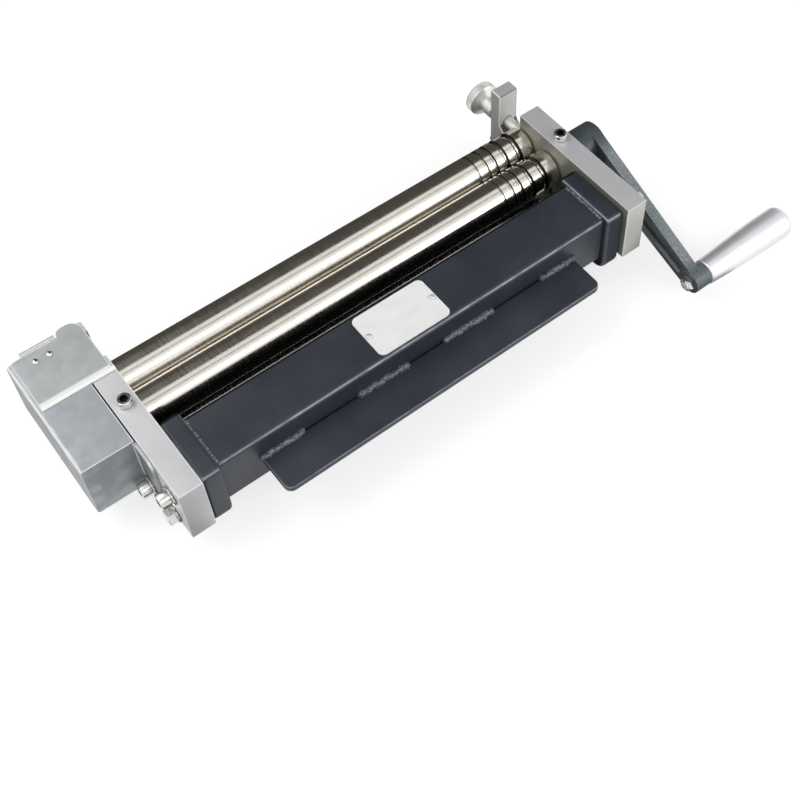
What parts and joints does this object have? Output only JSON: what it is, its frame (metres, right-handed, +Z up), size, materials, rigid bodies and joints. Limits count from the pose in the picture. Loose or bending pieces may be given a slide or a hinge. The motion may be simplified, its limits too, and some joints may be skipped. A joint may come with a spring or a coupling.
{
  "type": "slip roll machine",
  "caption": "Bench slip roll with a crank-driven roll, a geared slip roll in open slots, an idle bending roll, wire grooves, a gear cover with a lid and a clamp flange.",
  "frame": {"origin": "middle of the clamp flange's underside, midway between the end plates", "axes": "+X along the rolls towards the crank, +Y from the clamp flange to the back, +Z up"},
  "size_m": [0.4512, 0.2086, 0.0687],
  "materials": {
    "dark_paint": "semi-gloss",
    "end_plate": "satin",
    "turned_aluminium": "polished satin",
    "ground_steel": "ground bright",
    "bright_steel": "bright",
    "zinc_sheet": "zinc plated",
    "crank_paint": "cast, enamelled",
    "bronze": "turned",
    "bare_plate": "white lacquer, bare"
  },
  "bodies": {
    "frame": {"base_tube": "dark_paint", "clamp_flange": "dark_paint", "nameplate": "bare_plate", "nameplate_rivet_left": "bright_steel", "nameplate_rivet_right": "bright_steel", "end_cap_left": "dark_paint", "end_plate_left": "end_plate", "upper_screw_left": "bright_steel", "upper_washer_left": "bright_steel", "lower_screw_left": "bright_steel", "lower_washer_left": "bright_steel", "foot_screw_left": "bright_steel", "foot_washer_left": "bright_steel", "bush_screw_left": "bright_steel", "drive_bush_left": "bronze", "end_cap_right": "dark_paint", "end_plate_right": "end_plate", "upper_screw_right": "bright_steel", "upper_washer_right": "bright_steel", "lower_screw_right": "bright_steel", "lower_washer_right": "bright_steel", "foot_screw_right": "bright_steel", "foot_washer_right": "bright_steel", "bush_screw_right": "bright_steel", "drive_bush_right": "bronze", "gear_cover": "zinc_sheet", "hinge_leaf_fixed": "zinc_sheet", "hinge_pin": "bright_steel"},
    "lid": {"cover_lid": "zinc_sheet", "hinge_leaf_lid": "zinc_sheet", "lid_rivet_left": "bright_steel", "lid_rivet_right": "bright_steel"},
    "drive": {"drive_roll": "ground_steel", "drive_gear": "bright_steel", "drive_gear_nut": "bright_steel", "crank_arm": "crank_paint", "crank_washer": "bright_steel", "crank_bolt": "bright_steel", "handle_spindle": "bright_steel", "spindle_nut": "bright_steel"},
    "grip": {"crank_handle": "turned_aluminium"},
    "slip_bushes": {"slip_bush_left": "bronze", "slip_bush_right": "bronze"},
    "slip": {"slip_roll": "ground_steel", "slip_gear": "bright_steel", "slip_gear_nut": "bright_steel"},
    "knob_screw": {"press_screw_right": "turned_aluminium"},
    "socket_screw": {"press_screw_left": "bright_steel"},
    "bending_blocks": {"bending_block_left": "bright_steel", "bending_block_right": "bright_steel"},
    "bending": {"bending_roll": "ground_steel"},
    "bend_screw_right": {"bending_screw_right": "bright_steel"},
    "bend_screw_left": {"bending_screw_left": "bright_steel"}
  },
  "joints": [
    {"name": "crank_turn", "type": "hinge", "parent": "frame", "child": "drive", "pos_m": [0, 0.08, 0.0053], "axis": [1, 0, 0], "continuous": true},
    {"name": "grip_spin", "type": "hinge", "parent": "drive", "child": "grip", "pos_m": [0.22, -0.03547, -0.01589], "axis": [1, 0, 0], "continuous": true},
    {"name": "slip_roll_slide", "type": "slide", "parent": "frame", "child": "slip_bushes", "axis": [0, 1, 0], "range_m": [-0.0006, 0.002]},
    {"name": "slip_roll_turn", "type": "hinge", "parent": "slip_bushes", "child": "slip", "pos_m": [0, 0.1058, 0.0053], "axis": [1, 0, 0], "continuous": true},
    {"name": "knob_turn", "type": "hinge", "parent": "slip_bushes", "child": "knob_screw", "pos_m": [0.1582, 0.1058, 0.0018], "axis": [0, 1, 0], "range_deg": [-173.5, 576.7]},
    {"name": "socket_screw_turn", "type": "hinge", "parent": "slip_bushes", "child": "socket_screw", "pos_m": [-0.1582, 0.1058, 0.0018], "axis": [0, 1, 0], "range_deg": [-173.5, 576.7]},
    {"name": "bending_slide", "type": "slide", "parent": "frame", "child": "bending_blocks", "axis": [0, 1, 0], "range_m": [0, 0.008]},
    {"name": "bending_roll_turn", "type": "hinge", "parent": "bending_blocks", "child": "bending", "pos_m": [0, 0.086, -0.0227], "axis": [1, 0, 0], "continuous": true},
    {"name": "bend_screw_right_turn", "type": "hinge", "parent": "frame", "child": "bend_screw_right", "pos_m": [0.1582, 0.14, -0.0227], "axis": [0, -1, 0], "range_deg": [-0.7, 2880.7]},
    {"name": "bend_screw_left_turn", "type": "hinge", "parent": "frame", "child": "bend_screw_left", "pos_m": [-0.1582, 0.14, -0.0227], "axis": [0, -1, 0], "range_deg": [-0.7, 2880.7]},
    {"name": "lid_hinge", "type": "hinge", "parent": "frame", "child": "lid", "pos_m": [-0.178, 0.1392, 0.0268], "axis": [-1, 0, 0], "range_deg": [0, 100]}
  ],
  "couplings": [
    {"joint": "slip_roll_turn", "follows": "crank_turn", "ratio": -1},
    {"joint": "knob_turn", "follows": "slip_roll_slide", "rad_per_m": 5026.5},
    {"joint": "socket_screw_turn", "follows": "slip_roll_slide", "rad_per_m": 5026.5},
    {"joint": "bend_screw_right_turn", "follows": "bending_slide", "rad_per_m": 6283.2},
    {"joint": "bend_screw_left_turn", "follows": "bending_slide", "rad_per_m": 6283.2}
  ]
}
